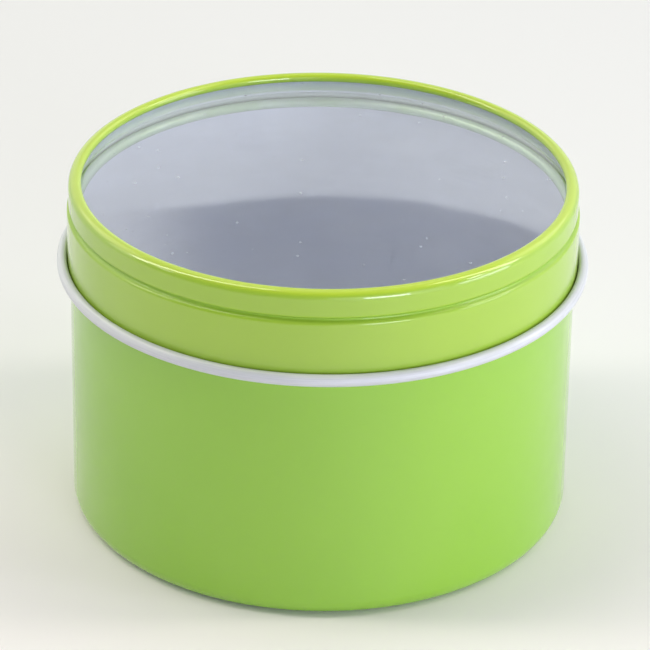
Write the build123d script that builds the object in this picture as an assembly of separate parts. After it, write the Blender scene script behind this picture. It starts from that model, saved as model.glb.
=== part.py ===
from build123d import *
from math import acos, copysign, degrees, radians, sin, sqrt
import os

# Round tin with a slip-over lid that has a clear window. All lengths are in millimetres.
# The tin stands on Z = 0 with its axis on Z, and the lid is closed.
# Each piece is one sheet. Its section is drawn as the middle line of the sheet, in radius
# and height, thickened to the sheet, and turned about Z.

# Sheets: tinplate for the can and the lid ring, clear plastic for the window
sheet = 0.23
film = 0.30

# Can: a drawn cup that stands on a flat foot round a shallow raised panel
can_diameter = 75.0
can_height = 48.6
base_corner_radius = 2.4
foot_width = 3.6
panel_rise = 0.6
panel_bend_radius = 1.0

# Mouth of the can, curled inwards and tucked under itself
mouth_curl_radius = 0.85
mouth_tuck_radius = 0.50
mouth_tuck_angle = 130

# Lid on the can: the slip fit of the skirt, and the gap where the bead sits on the mouth
skirt_clearance = 0.16
seat_clearance = 0.12

# Lid heights, both taken from the deepest line of the bead
crown_height = 4.15
skirt_height = 9.1

# Rim rolled over round the window: the outer shoulder, then the inner roll, which bears on
# the window and hides its raw edge underneath
rim_outer_radius = 1.28
rim_inner_radius = 0.68
rim_roll_angle = 230

# Upper band of the lid, a little narrower than the skirt
band_step = 0.25

# Bead pressed into the lid: it carries the window and stops the lid on the can. Its bends
# are tight above, so that the band ends in a crisp edge, and softer below.
bead_depth = 0.35
bead_upper_radius = 0.30
bead_lower_radius = 0.50

# Bottom edge of the skirt, curled outwards and tucked into itself
lid_curl_radius = 0.91
lid_tuck_radius = 0.55
lid_tuck_angle = 120

# Window: a shallow tray inside the band, whose flange stands on the bead. Its seat
# clearance is the gap at the bead and under the rim.
window_clearance = 0.06
window_seat_clearance = 0.04
window_bend_radius = 0.8

# A surface size less half a sheet gives the size of the middle line
half_sheet = sheet / 2
half_film = film / 2

# Outer radii of the walls
can_radius = can_diameter / 2
skirt_radius = can_radius + skirt_clearance + sheet
band_radius = skirt_radius - band_step
window_radius = band_radius - sheet - window_clearance

# Middle line of the bead at its deepest, and the centres of its two bends
bead_wall = band_radius - bead_depth - half_sheet
bead_upper_centre = bead_wall + bead_upper_radius
bead_lower_centre = bead_wall + bead_lower_radius

# The bead rests its lower bend on the round mouth of the can, which sets the lid's height
seat_reach = bead_lower_radius + half_sheet + seat_clearance + mouth_curl_radius
seat_across = bead_lower_centre - (can_radius - mouth_curl_radius)
bead_height = can_height - mouth_curl_radius + sqrt(seat_reach**2 - seat_across**2)
lid_top = bead_height + crown_height

# The window's flange rests its outer corner on the upper bend of the bead, and its face
# lies under the rolled rim
flange_reach = bead_upper_radius + half_sheet + window_seat_clearance
flange_bottom = bead_height + sqrt(flange_reach**2 - (bead_upper_centre - window_radius) ** 2)
window_top = lid_top - 2 * rim_inner_radius - window_seat_clearance


def sheet_section(start, heading, moves, thickness):
    """Section of a bent sheet, as a face in radius and height.

    The middle line leaves start in the direction heading, in degrees. In moves, a number is
    a straight run and a pair is a bend: its radius and its angle, positive to the left.
    """
    here = Vector(*start)
    ahead = Vector(1, 0).rotate(Axis.Z, heading)

    def corners():
        across = ahead.rotate(Axis.Z, 90) * (thickness / 2)
        return here + across, here - across

    left_side, right_side = [], []
    caps = [Line(*corners())]
    for move in moves:
        for side, corner in zip((left_side, right_side), corners()):
            if isinstance(move, tuple):
                radius, angle = move
                centre = here + ahead.rotate(Axis.Z, copysign(90, angle)) * radius
                spoke = corner - centre
                middle = centre + spoke.rotate(Axis.Z, angle / 2)
                side.append(ThreePointArc(corner, middle, centre + spoke.rotate(Axis.Z, angle)))
            else:
                side.append(Line(corner, corner + ahead * move))
        if isinstance(move, tuple):
            here = centre + (here - centre).rotate(Axis.Z, angle)
            ahead = ahead.rotate(Axis.Z, angle)
        else:
            here = here + ahead * move
    caps.append(Line(*corners()))
    return Face(Wire([line.edge() for line in left_side + right_side + caps]))


def spun(section, name, color):
    """The section turned about Z, as a named solid."""
    solid = revolve(Plane.XZ * section, Axis.Z, 360)
    solid.label = name
    solid.color = Color(color)
    return solid


def jog_angle(shift, radius):
    """Angle of a bend and its counter-bend that together move the sheet sideways."""
    return degrees(acos(1 - shift / (2 * radius)))


def jog_run(shift, radius):
    """How far that bend and counter-bend go ahead."""
    return 2 * radius * sin(radians(jog_angle(shift, radius)))


def make_can():
    """Panel, step down to the foot, corner, wall, and the mouth curled inwards."""
    corner = base_corner_radius - half_sheet
    step = (panel_rise, panel_bend_radius)
    panel = can_radius - base_corner_radius - foot_width - jog_run(*step)
    moves = [
        panel,
        (panel_bend_radius, -jog_angle(*step)),
        (panel_bend_radius, jog_angle(*step)),
        foot_width,
        (corner, 90),
        can_height - mouth_curl_radius - base_corner_radius,
        (mouth_curl_radius - half_sheet, 180),
        (mouth_tuck_radius - half_sheet, mouth_tuck_angle),
    ]
    return sheet_section((0, panel_rise + half_sheet), 0, moves, sheet)


def make_lid_ring():
    """From the raw edge under the rim: rolled rim, band, bead, skirt and outward curl."""
    inner = rim_inner_radius - half_sheet
    outer = rim_outer_radius - half_sheet
    upper = (bead_depth, bead_upper_radius)
    lower = (bead_depth + band_step, bead_lower_radius)
    moves = [
        (inner, -rim_roll_angle),
        (outer, -90),
        crown_height - rim_outer_radius - jog_run(*upper),
        (bead_upper_radius, -jog_angle(*upper)),
        (bead_upper_radius, jog_angle(*upper)),
        (bead_lower_radius, jog_angle(*lower)),
        (bead_lower_radius, -jog_angle(*lower)),
        skirt_height - jog_run(*lower),
        (lid_curl_radius - half_sheet, 270),
        (lid_tuck_radius - half_sheet, lid_tuck_angle),
    ]
    roll_centre = Vector(band_radius - rim_outer_radius, lid_top - rim_inner_radius)
    raw_edge = roll_centre + Vector(inner, 0).rotate(Axis.Z, rim_roll_angle + 90)
    return sheet_section(raw_edge, rim_roll_angle, moves, sheet)


def make_window():
    """Flat face, bend and the short flange round it."""
    bend = window_bend_radius - half_film
    moves = [
        window_radius - half_film - bend,
        (bend, -90),
        window_top - window_bend_radius - flange_bottom,
    ]
    return sheet_section((0, window_top - half_film), 0, moves, film)


pieces = [
    spun(make_can(), "can", "YellowGreen"),
    spun(make_lid_ring(), "lid_ring", "OliveDrab"),
    spun(make_window(), "window", "LightSteelBlue"),
]

os.makedirs("parts", exist_ok=True)
for piece in pieces:
    export_step(piece, f"parts/{piece.label}.step")
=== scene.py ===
from cmath import exp
from math import acos, ceil, cos, degrees, radians, sin, tau

import bpy
from mathutils import Matrix, Vector


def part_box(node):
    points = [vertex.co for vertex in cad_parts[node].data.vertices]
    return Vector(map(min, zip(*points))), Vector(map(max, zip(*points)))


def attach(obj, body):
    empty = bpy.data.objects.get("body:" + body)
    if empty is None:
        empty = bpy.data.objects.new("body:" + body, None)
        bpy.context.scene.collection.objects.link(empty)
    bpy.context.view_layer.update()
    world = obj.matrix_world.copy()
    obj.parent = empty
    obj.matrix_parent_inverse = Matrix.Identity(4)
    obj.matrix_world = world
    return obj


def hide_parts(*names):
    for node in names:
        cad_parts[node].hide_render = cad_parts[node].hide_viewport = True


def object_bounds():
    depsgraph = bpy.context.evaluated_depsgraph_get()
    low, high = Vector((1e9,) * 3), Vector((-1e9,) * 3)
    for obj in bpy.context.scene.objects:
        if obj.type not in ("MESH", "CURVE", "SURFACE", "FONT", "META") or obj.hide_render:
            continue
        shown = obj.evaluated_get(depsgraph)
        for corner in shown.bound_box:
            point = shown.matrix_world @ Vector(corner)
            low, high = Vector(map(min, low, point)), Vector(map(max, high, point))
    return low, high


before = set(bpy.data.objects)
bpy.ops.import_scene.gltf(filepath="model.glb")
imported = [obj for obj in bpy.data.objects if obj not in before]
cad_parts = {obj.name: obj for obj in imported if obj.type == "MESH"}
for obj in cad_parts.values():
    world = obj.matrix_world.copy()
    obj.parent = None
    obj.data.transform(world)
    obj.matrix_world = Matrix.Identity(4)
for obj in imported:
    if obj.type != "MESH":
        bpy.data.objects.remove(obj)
cad_bounds = [list(corner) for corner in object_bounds()]

mm = 0.001

# Sizes of the frame's pieces
can_low, can_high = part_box("can")
ring_low, ring_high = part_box("lid_ring")
window_low, window_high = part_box("window")

# Sheets: tinplate for the can and the lid ring, clear plastic for the window
sheet = 0.23 * mm
film = 0.30 * mm
half_sheet = sheet / 2
half_film = film / 2

# Can: foot round a raised panel, corner, wall and the mouth curled inwards
can_radius = can_high.x
can_height = can_high.z
base_corner_radius = 2.4 * mm
foot_width = 3.6 * mm
panel_rise = 0.6 * mm
panel_bend_radius = 1.0 * mm
mouth_curl_radius = 0.85 * mm
mouth_tuck_radius = 0.50 * mm
mouth_tuck_angle = 130

# Lid ring: rolled rim, band, bead, skirt and the bottom edge curled outwards
lid_top = ring_high.z
rim_outer_radius = 1.28 * mm
rim_inner_radius = 0.68 * mm
rim_roll_angle = 230
crown_height = 4.15 * mm
skirt_height = 9.1 * mm
band_step = 0.25 * mm
bead_depth = 0.35 * mm
bead_upper_radius = 0.30 * mm
bead_lower_radius = 0.50 * mm
lid_curl_radius = 0.91 * mm
lid_tuck_radius = 0.55 * mm
lid_tuck_angle = 120
skirt_radius = ring_high.x - 2 * lid_curl_radius + sheet
band_radius = skirt_radius - band_step
bead_height = lid_top - crown_height

# Window: face, bend and flange
window_radius = window_high.x
window_bend_radius = 0.8 * mm

# How finely the sections and their turn about Z are divided, the distance within which a
# point counts as on the axis, and the angle from which an edge is sharp
section_step = 10
turn_steps = 288
axis_reach = half_sheet / 100
sharp_angle = radians(50)

# Length at both ends of a straight run that keeps the run's shading flat up to the bend
flat_end = 0.03 * mm

# Camera of the photograph: a long lens, looking down at the front of the tin
photo_pixels = 650
focal_pixels = 3908
sensor_width = 36
camera_place = Vector((0, -518.2 * mm, 304.1 * mm))
camera_pitch = radians(28.036)
camera_yaw = radians(0.058)
camera_roll = radians(0.964)

# Two close tones of each lacquer and tin, and single tones: rubbed tin, and painted light and
# shade on them
can_green = (0.246, 0.500, 0.014, 1), (0.235, 0.487, 0.012, 1)
lid_green = (0.318, 0.515, 0.024, 1), (0.305, 0.500, 0.021, 1)
inside_tin = (0.80, 0.82, 0.90, 1), (0.765, 0.785, 0.865, 1)
ring_tin = (0.72, 0.735, 0.77, 1), (0.70, 0.715, 0.75, 1)
# Rim's top: partly lacquer stretched thin, partly painted light, lighter and yellower where it
# faces the lamps above
rim_lit_green = (0.450, 0.620, 0.012, 1)
# Painted shade in the bead's recess
bead_shade_green = (0.190, 0.410, 0.006, 1)
rubbed_tin = (0.62, 0.67, 0.76, 1)
# Wash inside the lid ring: painted light lifting the shade under the rim, and painted shade in
# its bead
wash_lit_grey = (0.86, 0.91, 0.91, 1)
bead_shade_grey = (0.56, 0.62, 0.60, 1)

# Patterns, in waves or cells per metre, and the heights of those that are relief
peel_waves, peel_height = 1400, 0.0003 * mm
ripple_waves, ripple_height = 160, 0.002 * mm
satin_waves, satin_rough = 300, (0.56, 0.60)
tone_waves = 45
rub_waves = 220
stain_waves = 90
rolling_waves, rolling_height = 60, 0.003 * mm
rolling_stretch = (1, 1, 90)
rolling_rough = (0.85, 1.15)
haze_waves = 130
dust_cells = 330.0

# Middle of a noise's range, where nearly all of it lies
noise_middle = (0.3, 0.7)

# Lid's lacquer: the heights and radii between which it changes (painted light over the rim's top,
# painted shade in the bead's recess), how far that shade darkens it, and how far its gloss is
# dulled in the bead
rim_lit_heights = (lid_top - 0.80 * mm, lid_top - 0.10 * mm)
band_end = (bead_height + 0.62 * mm, bead_height + 0.45 * mm)
skirt_end = (bead_height - 0.55 * mm, bead_height + 0.10 * mm)
lip_end = (bead_height - 1.00 * mm, bead_height - 0.60 * mm)
bead_recess = (band_radius - 0.02 * mm, band_radius - 0.12 * mm)
bead_shade_share = 0.6
bead_dulling = 0.45

# Can's lacquer, rubbed through at the mouth: between these radii, above this height, and by
# this much
mouth_bend = (can_radius - 0.3 * mm, can_radius - 1.0 * mm)
mouth_low = can_height - 3 * mm
mouth_rub = (0.45, 0.65)

# Wash coat inside the lid ring: the height that it begins at, the heights between which its
# painted shade in the bead changes to its painted light above, how far it covers the metal, and
# its roughness
wash_low = ring_low.z + 3 * mm
wash_shade_heights = (bead_height + 0.3 * mm, bead_height + 0.9 * mm)
wash_cover = 0.75
wash_rough = 0.8

# Window film: its own tint and the shade that it lets through, and what covers it: haze,
# dust by the size and softness of its specks, and whitening at the bend
film_tint = (0.96, 0.975, 1.0, 1)
film_shade = (0.93, 0.94, 0.95, 1)
film_ior = 1.58
haze_cover = (0.015, 0.04)
dust_grey = (0.80, 0.84, 0.92, 1)
speck_size = 0.095
speck_edge = 0.02
speck_cover = 0.32
film_bend = (window_radius - 0.8 * mm, window_radius - 0.4 * mm)
bend_cover = 0.9

# Lamps, all facing the tin from one distance: name, azimuth from the front and elevation in
# degrees, width and height in metres, power in watts, and tint
lamp_distance = 1.0
cool = (0.97, 1.0, 1.12)
neutral = (1.0, 1.0, 1.0)
warm = (1.0, 0.95, 0.75)
amber = (1.0, 0.96, 0.82)
lamps = [
    ("front_right_box", 27, 7, 0.34, 0.26, 2.9, cool),
    ("front_fill_box", 28, 14, 0.90, 0.50, 1.4, cool),
    ("right_low_box", 72, 7, 0.46, 0.30, 2.3, cool),
    ("right_box", 85, 25, 0.50, 0.40, 0.4, cool),
    ("back_right_box", 125, 35, 0.50, 0.50, 0.85, neutral),
    ("back_high_box", 180, 62, 0.60, 0.30, 0.5, neutral),
    ("back_left_box", -125, 35, 0.50, 0.50, 1.0, warm),
    ("left_box", -95, 20, 0.30, 0.50, 0.5, warm),
    ("right_strip", 92, 44, 0.16, 0.80, 2.6, amber),
    ("left_strip", -90, 53, 0.17, 1.05, 4.0, amber),
    ("right_small_box", 72, 30, 0.12, 0.16, 0.6, neutral),
    ("left_small_box", -75, 32, 0.12, 0.16, 0.2, neutral),
]

# Paper: its tone in front of the tin, and behind it a greyer tone as painted shade where the
# lamps light it more; the depths between which it changes, how far it goes, how far below the tin
# it lies, and the distances between which it runs out into the white of the room
floor_near = (0.87, 0.83, 0.86, 1)
floor_far_shaded = (0.76, 0.765, 0.78, 1)
floor_change = (-12 * mm, 40 * mm)
floor_reach = 4.0
floor_gap = 0.01 * mm
paper_white = (0.913, 0.913, 0.871, 1)
paper_end = (0.25, 0.65)

# Room that the film and the gloss mirror: dark in front, a white backdrop behind, and over
# its top edge a dark gap between bright sides, up to the ceiling
front_glow = (0.12, 0.125, 0.135, 1)
backdrop_glow = (0.96, 0.99, 1.0, 1)
gap_glow = (0.05, 0.055, 0.06, 1)
side_glow = (0.98, 1.0, 1.02, 1)
ceiling_glow = (0.50, 0.50, 0.51, 1)

# Where these meet: along a direction's Y and Z, or by how far it points aside. A direction
# counts as a little longer than it is, so that nothing is divided by zero straight up.
direction_length = 1.0001
backdrop_change = (-0.5, 0.4)
ceiling_depth = (-0.30, 0.10)
ceiling_height = (0.50, 0.85)
gap_middle = 0.012
gap_side = (0.040, 0.078)

# The backdrop's top edge, as a slope over the horizon that bows up to both sides: points of
# the bow over -1..1 of the half width, and over 0..1 of its height
backdrop_top = 0.4909
backdrop_blur = 0.0010
backdrop_half_width = 0.10
backdrop_bow = 0.012
backdrop_bow_points = [
    (-1.00, 0.46), (-0.63, 0.42), (-0.49, 0.37), (-0.35, 0.28), (-0.18, 0.09), (0.0, 0.0),
    (0.22, 0.06), (0.36, 0.23), (0.50, 0.48), (0.58, 0.67), (0.64, 0.84), (0.75, 1.0), (1.0, 1.0),
]


def jog_angle(shift, radius):
    """Angle of a bend and its counter-bend that together move the sheet sideways."""
    return degrees(acos(1 - shift / (2 * radius)))


def jog_run(shift, radius):
    """How far that bend and counter-bend go ahead."""
    return 2 * radius * sin(radians(jog_angle(shift, radius)))


def sheet_sides(start, heading, moves, thickness):
    """Left and right side of a bent sheet's section, as complex numbers: radius + height j.

    The middle line leaves start in the direction heading, in degrees. In moves, a number is
    a straight run and a pair is a bend: its radius and its angle, positive to the left.
    """
    here = complex(*start)
    ahead = exp(1j * radians(heading))
    left = [here + 1j * ahead * thickness / 2]
    right = [here - 1j * ahead * thickness / 2]
    for move in moves:
        if isinstance(move, tuple):
            radius, angle = move
            centre = here + (1j if angle > 0 else -1j) * ahead * radius
            steps = ceil(abs(angle) / section_step)
            turns = [exp(1j * radians(angle * step / steps)) for step in range(1, steps + 1)]
            for side in (left, right):
                spoke = side[-1] - centre
                side.extend(centre + spoke * turn for turn in turns)
            here = centre + (here - centre) * turns[-1]
            ahead *= turns[-1]
        else:
            here += ahead * move
            for side in (left, right):
                start_of_run = side[-1]
                stops = (flat_end, move - flat_end, move)
                side.extend(start_of_run + ahead * along for along in stops)
    return left, right


def add_object(name, data):
    """A new object in the scene."""
    added = bpy.data.objects.new(name, data)
    bpy.context.scene.collection.objects.link(added)
    return added


def spun_mesh(name, sides, materials):
    """The section turned about Z. Materials 0, 1 and 2 go on its left, its right and its cuts."""
    left, right = sides
    loop = left + right[::-1]
    count = len(loop)
    on_axis = [abs(point.real) < axis_reach for point in loop]
    vertices, rings = [], []
    for point, central in zip(loop, on_axis):
        ring = []
        for step in range(1 if central else turn_steps):
            around = tau * step / turn_steps
            ring.append(len(vertices))
            vertices.append((point.real * cos(around), point.real * sin(around), point.imag))
        rings.append(ring)
    faces, slots = [], []
    for index in range(count):
        following = (index + 1) % count
        if on_axis[index] and on_axis[following]:
            continue
        if index < len(left) - 1:
            slot = 0
        elif index == len(left) - 1 or following == 0:
            slot = 2
        else:
            slot = 1
        near, far = rings[index], rings[following]
        for step in range(turn_steps):
            other = (step + 1) % turn_steps
            if on_axis[index]:
                face = (near[0], far[step], far[other])
            elif on_axis[following]:
                face = (near[other], near[step], far[0])
            else:
                face = (near[other], near[step], far[step], far[other])
            faces.append(face)
            slots.append(slot)
    mesh = bpy.data.meshes.new(name)
    mesh.from_pydata(vertices, [], faces)
    for material in materials:
        mesh.materials.append(material)
    mesh.polygons.foreach_set("material_index", slots)
    mesh.polygons.foreach_set("use_smooth", [True] * len(faces))
    mesh.set_sharp_from_angle(angle=sharp_angle)
    mesh.update()
    return add_object(name, mesh)


def can_sides():
    """Panel, step down to the foot, corner, wall and the mouth curled inwards."""
    corner = base_corner_radius - half_sheet
    step = (panel_rise, panel_bend_radius)
    panel = can_radius - base_corner_radius - foot_width - jog_run(*step)
    moves = [
        panel,
        (panel_bend_radius, -jog_angle(*step)),
        (panel_bend_radius, jog_angle(*step)),
        foot_width,
        (corner, 90),
        can_height - mouth_curl_radius - base_corner_radius,
        (mouth_curl_radius - half_sheet, 180),
        (mouth_tuck_radius - half_sheet, mouth_tuck_angle),
    ]
    return sheet_sides((0, panel_rise + half_sheet), 0, moves, sheet)


def ring_sides():
    """From the raw edge under the rim: rolled rim, band, bead, skirt and outward curl."""
    inner = rim_inner_radius - half_sheet
    outer = rim_outer_radius - half_sheet
    upper = (bead_depth, bead_upper_radius)
    lower = (bead_depth + band_step, bead_lower_radius)
    moves = [
        (inner, -rim_roll_angle),
        (outer, -90),
        crown_height - rim_outer_radius - jog_run(*upper),
        (bead_upper_radius, -jog_angle(*upper)),
        (bead_upper_radius, jog_angle(*upper)),
        (bead_lower_radius, jog_angle(*lower)),
        (bead_lower_radius, -jog_angle(*lower)),
        skirt_height - jog_run(*lower),
        (lid_curl_radius - half_sheet, 270),
        (lid_tuck_radius - half_sheet, lid_tuck_angle),
    ]
    roll_centre = complex(band_radius - rim_outer_radius, lid_top - rim_inner_radius)
    raw_edge = roll_centre + inner * exp(1j * radians(rim_roll_angle + 90))
    return sheet_sides((raw_edge.real, raw_edge.imag), rim_roll_angle, moves, sheet)


def window_sides():
    """Flat face, bend and the short flange round it."""
    bend = window_bend_radius - half_film
    moves = [
        window_radius - half_film - bend,
        (bend, -90),
        window_high.z - window_bend_radius - window_low.z,
    ]
    return sheet_sides((0, window_high.z - half_film), 0, moves, film)


def node(tree, kind, settings=None, **inputs):
    """A new shader node. An input is a value, or another node's output, which is linked.

    Inputs are named with _ for a space, or _ and their number.
    """
    made = tree.nodes.new(kind)
    for name, value in (settings or {}).items():
        setattr(made, name, value)
    for name, value in inputs.items():
        key = int(name[1:]) if name[0] == "_" else name.replace("_", " ")
        socket = made.inputs[key]
        if isinstance(value, bpy.types.NodeSocket):
            tree.links.new(value, socket)
        else:
            socket.default_value = value
    return made


def math(tree, operation, *values):
    """Output of a Math node."""
    inputs = {f"_{index}": value for index, value in enumerate(values)}
    return node(tree, "ShaderNodeMath", {"operation": operation}, **inputs).outputs[0]


def product(tree, first, *others):
    """Product of two or more values."""
    for other in others:
        first = math(tree, "MULTIPLY", first, other)
    return first


def object_place(tree):
    """Place in the object's own space, in metres."""
    return node(tree, "ShaderNodeTexCoord").outputs["Object"]


def parts(tree, vector):
    """X, Y and Z of a vector."""
    return node(tree, "ShaderNodeSeparateXYZ", Vector=vector).outputs


def length(tree, vector):
    """Length of a vector."""
    return node(tree, "ShaderNodeVectorMath", {"operation": "LENGTH"}, _0=vector).outputs["Value"]


def from_axis(tree, place):
    """Distance from the tin's axis, out of the parts of a place."""
    return length(tree, node(tree, "ShaderNodeCombineXYZ", X=place["X"], Y=place["Y"]).outputs[0])


def noise(tree, scale, detail=2.0, stretch=(1, 1, 1)):
    """Noise in the object's own space. scale is in 1/m, and stretch scales it along each axis."""
    place = object_place(tree)
    scaled = node(tree, "ShaderNodeVectorMath", {"operation": "MULTIPLY"}, _0=place, _1=stretch)
    waves = node(
        tree, "ShaderNodeTexNoise", Vector=scaled.outputs[0], Scale=scale, Detail=detail
    )
    return waves.outputs["Fac"]


def mapped(tree, value, low, high, to_low=0.0, to_high=1.0, interpolation="LINEAR"):
    """Maps low..high to to_low..to_high, and holds what lies outside at its ends."""
    return node(
        tree, "ShaderNodeMapRange", {"interpolation_type": interpolation, "clamp": True},
        Value=value, From_Min=low, From_Max=high, To_Min=to_low, To_Max=to_high,
    ).outputs[0]


def spread(tree, value, low, high):
    """Maps the middle of a noise's range to low..high."""
    return mapped(tree, value, *noise_middle, low, high)


def ramp(tree, value, low, high):
    """0 at low, 1 at high, with a smooth step between them."""
    return mapped(tree, value, low, high, interpolation="SMOOTHSTEP")


def mixed_colour(tree, factor, first, second):
    """Output of a colour mix."""
    mix = node(tree, "ShaderNodeMix", {"data_type": "RGBA"}, _0=factor, _6=first, _7=second)
    return mix.outputs[2]


def mottled(tree, tones, scale, detail=2.0):
    """Two tones in soft patches. scale is in 1/m."""
    return mixed_colour(tree, spread(tree, noise(tree, scale, detail), 0, 1), *tones)


def mixed_shader(tree, factor, first, second):
    """Node that goes from the first shader at 0 to the second at 1."""
    return node(tree, "ShaderNodeMixShader", _0=factor, _1=first.outputs[0], _2=second.outputs[0])


def relief(tree, height):
    """Normal of a surface with this relief, in metres."""
    return node(tree, "ShaderNodeBump", Height=height, Distance=1.0, Strength=1.0).outputs[0]


def curve(tree, value, half_width, points):
    """Output of a Float Curve over -half_width..half_width, through points given over -1..1."""
    made = node(tree, "ShaderNodeFloatCurve", Value=mapped(tree, value, -half_width, half_width))
    line = made.mapping.curves[0]
    line.points[0].location = ((points[0][0] + 1) / 2, points[0][1])
    line.points[-1].location = ((points[-1][0] + 1) / 2, points[-1][1])
    for place, height in points[1:-1]:
        line.points.new((place + 1) / 2, height)
    made.mapping.update()
    return made.outputs[0]


def new_material(name):
    """An empty node material and its tree."""
    material = bpy.data.materials.new(name)
    material.use_nodes = True
    material.node_tree.nodes.clear()
    return material, material.node_tree


def finish_material(tree, shader):
    """Gives the material this shader."""
    node(tree, "ShaderNodeOutputMaterial", Surface=shader.outputs[0])


def lacquer(tree, colour, **settings):
    """Satin lacquer under a clear gloss, with a fine orange peel and slow ripples."""
    peel = product(tree, noise(tree, peel_waves, detail=1.0), peel_height)
    ripple = product(tree, noise(tree, ripple_waves, detail=1.0), ripple_height)
    return node(
        tree, "ShaderNodeBsdfPrincipled",
        Base_Color=colour,
        Roughness=spread(tree, noise(tree, satin_waves), *satin_rough),
        IOR=1.50,
        Coat_Roughness=0.07,
        Coat_IOR=1.60,
        Normal=relief(tree, math(tree, "ADD", peel, ripple)),
        **settings,
    )


def lid_lacquer(name, tones, lit_rim_colour, shaded_colour):
    """The lid's lacquer: over the rim, stretched thin and lighter as painted light; in the bead,
    painted shade and a dulled gloss.
    """
    material, tree = new_material(name)
    place = parts(tree, object_place(tree))
    height = place["Z"]
    # Painted light on the rim's top
    over_rim = ramp(tree, height, *rim_lit_heights)
    below_band = ramp(tree, height, *band_end)
    above_skirt = ramp(tree, height, *skirt_end)
    above_lip = ramp(tree, height, *lip_end)
    recessed = ramp(tree, from_axis(tree, place), *bead_recess)
    colour = mixed_colour(tree, over_rim, mottled(tree, tones, tone_waves), lit_rim_colour)
    # Painted shade in the bead's recess
    dust_and_shade = product(tree, below_band, above_skirt, recessed, bead_shade_share)
    colour = mixed_colour(tree, dust_and_shade, colour, shaded_colour)
    gloss = math(tree, "SUBTRACT", 1.0, product(tree, below_band, above_lip, bead_dulling))
    finish_material(tree, lacquer(tree, colour, Coat_Weight=gloss))
    return material


def mouth_lacquer(name, tones, bare):
    """The can's lacquer, stretched thin and rubbed through where the mouth is curled inwards."""
    material, tree = new_material(name)
    place = parts(tree, object_place(tree))
    curled = ramp(tree, from_axis(tree, place), *mouth_bend)
    high = math(tree, "GREATER_THAN", place["Z"], mouth_low)
    rubbed = spread(tree, noise(tree, rub_waves, detail=4.0), *mouth_rub)
    worn = product(tree, curled, high, rubbed)
    colour = mixed_colour(tree, worn, mottled(tree, tones, tone_waves), bare)
    finish_material(tree, lacquer(tree, colour, Metallic=worn, Coat_Weight=1.0))
    return material


def tinplate(name, tones, rough, dull_above=None):
    """Bare tin on steel: fine rolling lines that smear its reflections, and faint stains.

    Above the height dull_above, the tin has a dull wash coat on it, lightened as painted light
    against the shade under the rim, and greyer in the bead as painted shade over its bright
    reflection.
    """
    material, tree = new_material(name)
    colour = mottled(tree, tones, stain_waves, detail=4.0)
    lines = noise(tree, rolling_waves, detail=3.0, stretch=rolling_stretch)
    metallic = 1.0
    roughness = spread(tree, lines, *(rough * share for share in rolling_rough))
    if dull_above is not None:
        height = parts(tree, object_place(tree))["Z"]
        dull = math(tree, "GREATER_THAN", height, dull_above)
        above_bead = ramp(tree, height, *wash_shade_heights)
        # Painted shade in the bead, painted light above it
        wash = mixed_colour(tree, above_bead, bead_shade_grey, wash_lit_grey)
        colour = mixed_colour(tree, dull, colour, wash)
        metallic = math(tree, "SUBTRACT", 1.0, product(tree, dull, wash_cover))
        roughness = math(tree, "MAXIMUM", roughness, product(tree, dull, wash_rough))
    metal = node(
        tree, "ShaderNodeBsdfPrincipled",
        Base_Color=colour,
        Metallic=metallic,
        Roughness=roughness,
        Normal=relief(tree, product(tree, lines, rolling_height)),
    )
    finish_material(tree, metal)
    return material


def window_film():
    """Clear plastic with fine dust and a faint haze on it, whitened where it is bent down.

    Lamps shine through it, and light that the other surfaces scatter passes it or bounces off.
    """
    material, tree = new_material("window_film")
    clear = node(
        tree, "ShaderNodeBsdfPrincipled",
        Base_Color=film_tint, Roughness=0.012, IOR=film_ior, Transmission_Weight=1.0,
    )
    place = object_place(tree)
    cells = node(
        tree, "ShaderNodeTexVoronoi", {"feature": "F1"}, Vector=place, Scale=dust_cells
    ).outputs
    size = product(tree, parts(tree, cells["Color"])["X"], speck_size)
    outside = math(tree, "SUBTRACT", cells["Distance"], size)
    speck = mapped(tree, outside, 0.0, -speck_edge, 0.0, speck_cover)
    haze = spread(tree, noise(tree, haze_waves, detail=5.0), *haze_cover)
    bent = product(tree, ramp(tree, from_axis(tree, parts(tree, place)), *film_bend), bend_cover)
    cover = math(tree, "MAXIMUM", math(tree, "MAXIMUM", haze, bent), speck)
    dust_and_shade = node(tree, "ShaderNodeBsdfPrincipled", Base_Color=dust_grey, Roughness=0.8)
    dusty = mixed_shader(tree, cover, clear, dust_and_shade)
    open_way = node(tree, "ShaderNodeBsdfTransparent", Color=film_shade)
    sheen = node(tree, "ShaderNodeBsdfGlossy", Color=(1, 1, 1, 1), Roughness=0.25)
    slant = node(tree, "ShaderNodeFresnel", IOR=film_ior).outputs[0]
    bounce = mixed_shader(tree, slant, open_way, sheen)
    path = node(tree, "ShaderNodeLightPath").outputs
    lit = mixed_shader(tree, path["Is Diffuse Ray"], dusty, bounce)
    finish_material(tree, mixed_shader(tree, path["Is Shadow Ray"], lit, open_way))
    return material


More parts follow.
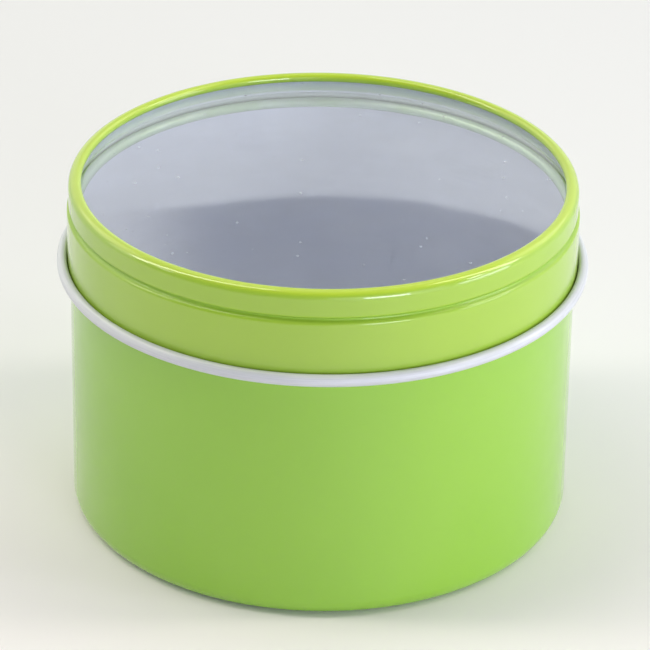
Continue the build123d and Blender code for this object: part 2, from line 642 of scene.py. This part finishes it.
def build_floor():
    """White paper, greyer behind the tin as painted shade where the lamps light it more, that
    runs out into the white of the room.
    """
    mesh = bpy.data.meshes.new("floor")
    level = cad_bounds[0][2] - floor_gap
    signs = ((-1, -1), (1, -1), (1, 1), (-1, 1))
    corners = [(x * floor_reach, y * floor_reach, level) for x, y in signs]
    mesh.from_pydata(corners, [], [(0, 1, 2, 3)])
    floor = add_object("floor", mesh)
    material, tree = new_material("floor_paper")
    place = object_place(tree)
    behind = ramp(tree, parts(tree, place)["Y"], *floor_change)
    # Painted shade on the paper behind the tin
    colour = mixed_colour(tree, behind, floor_near, floor_far_shaded)
    paper = node(tree, "ShaderNodeBsdfPrincipled", Base_Color=colour, Roughness=0.7)
    white = node(tree, "ShaderNodeEmission", Color=paper_white, Strength=1.0)
    seen = node(tree, "ShaderNodeLightPath").outputs["Is Camera Ray"]
    run_out = product(tree, ramp(tree, length(tree, place), *paper_end), seen)
    finish_material(tree, mixed_shader(tree, run_out, paper, white))
    mesh.materials.append(material)


def build_world():
    """The room that the tin mirrors, and plain white paper where the camera looks past it."""
    world = bpy.data.worlds.new("studio")
    bpy.context.scene.world = world
    world.use_nodes = True
    tree = world.node_tree
    tree.nodes.clear()
    way = parts(tree, node(tree, "ShaderNodeTexCoord").outputs["Generated"])
    squared = math(tree, "POWER", way["Z"], 2.0)
    level = math(tree, "SQRT", math(tree, "SUBTRACT", direction_length, squared))
    slope = math(tree, "DIVIDE", way["Z"], level)
    aside = math(tree, "DIVIDE", way["X"], level)

    behind = ramp(tree, way["Y"], *backdrop_change)
    below_edge = mixed_colour(tree, behind, front_glow, backdrop_glow)

    off_middle = math(tree, "ABSOLUTE", math(tree, "SUBTRACT", aside, gap_middle))
    beside_gap = product(tree, ramp(tree, off_middle, *gap_side), behind)
    gap = mixed_colour(tree, beside_gap, gap_glow, side_glow)
    high, far = ramp(tree, way["Z"], *ceiling_height), ramp(tree, way["Y"], *ceiling_depth)
    over_edge = mixed_colour(tree, product(tree, high, far), gap, ceiling_glow)

    bow = curve(tree, aside, backdrop_half_width, backdrop_bow_points)
    edge = math(tree, "ADD", product(tree, bow, backdrop_bow), backdrop_top)
    above = ramp(tree, math(tree, "SUBTRACT", slope, edge), -backdrop_blur, backdrop_blur)
    room = mixed_colour(tree, above, below_edge, over_edge)

    light = node(tree, "ShaderNodeBackground", Color=room, Strength=1.0)
    paper = node(tree, "ShaderNodeBackground", Color=paper_white, Strength=1.0)
    seen = node(tree, "ShaderNodeLightPath").outputs["Is Camera Ray"]
    node(tree, "ShaderNodeOutputWorld", Surface=mixed_shader(tree, seen, light, paper).outputs[0])


def build_lamp(name, azimuth, elevation, width, height, power, tint):
    """Soft box facing the middle of the can. Its azimuth is positive to the right."""
    data = bpy.data.lights.new(name, "AREA")
    data.shape = "RECTANGLE"
    data.size = width
    data.size_y = height
    data.energy = power
    data.color = tint
    box = add_object(name, data)
    turn, up = radians(azimuth), radians(elevation)
    way = Vector((sin(turn) * cos(up), -cos(turn) * cos(up), sin(up)))
    box.location = Vector((0, 0, can_height / 2)) + way * lamp_distance
    box.rotation_euler = way.to_track_quat("Z", "Y").to_euler()


def build_camera():
    """The photograph's camera, from its place, its three angles and its focal length."""
    data = bpy.data.cameras.new("camera")
    data.sensor_width = sensor_width
    data.lens = focal_pixels / photo_pixels * sensor_width
    data.clip_start = 10 * mm
    camera = add_object("camera", data)
    level_way = Vector((sin(camera_yaw), cos(camera_yaw), 0))
    forward = level_way * cos(camera_pitch) - Vector((0, 0, sin(camera_pitch)))
    level_right = forward.cross(Vector((0, 0, 1))).normalized()
    level_up = level_right.cross(forward)
    right = cos(camera_roll) * level_right + sin(camera_roll) * level_up
    up = cos(camera_roll) * level_up - sin(camera_roll) * level_right
    turn = Matrix((right, up, -forward)).transposed()
    camera.matrix_world = Matrix.Translation(camera_place) @ turn.to_4x4()
    bpy.context.scene.camera = camera


can_paint = mouth_lacquer("can_paint", can_green, rubbed_tin)
lid_paint = lid_lacquer("lid_paint", lid_green, rim_lit_green, bead_shade_green)
inner_tin = tinplate("inner_tin", inside_tin, rough=0.6)
curl_tin = tinplate("curl_tin", ring_tin, rough=0.8, dull_above=wash_low)

can = spun_mesh("tin_can", can_sides(), [inner_tin, can_paint, inner_tin])
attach(can, "can")
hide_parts("can")

ring = spun_mesh("tin_lid_ring", ring_sides(), [lid_paint, curl_tin, curl_tin])
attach(ring, "lid")
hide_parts("lid_ring")

clear = window_film()
pane = spun_mesh("window_pane", window_sides(), [clear, clear, clear])
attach(pane, "lid")
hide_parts("window")

build_floor()
build_world()
for settings in lamps:
    build_lamp(*settings)
build_camera()

bpy.context.scene.view_settings.view_transform = "Standard"
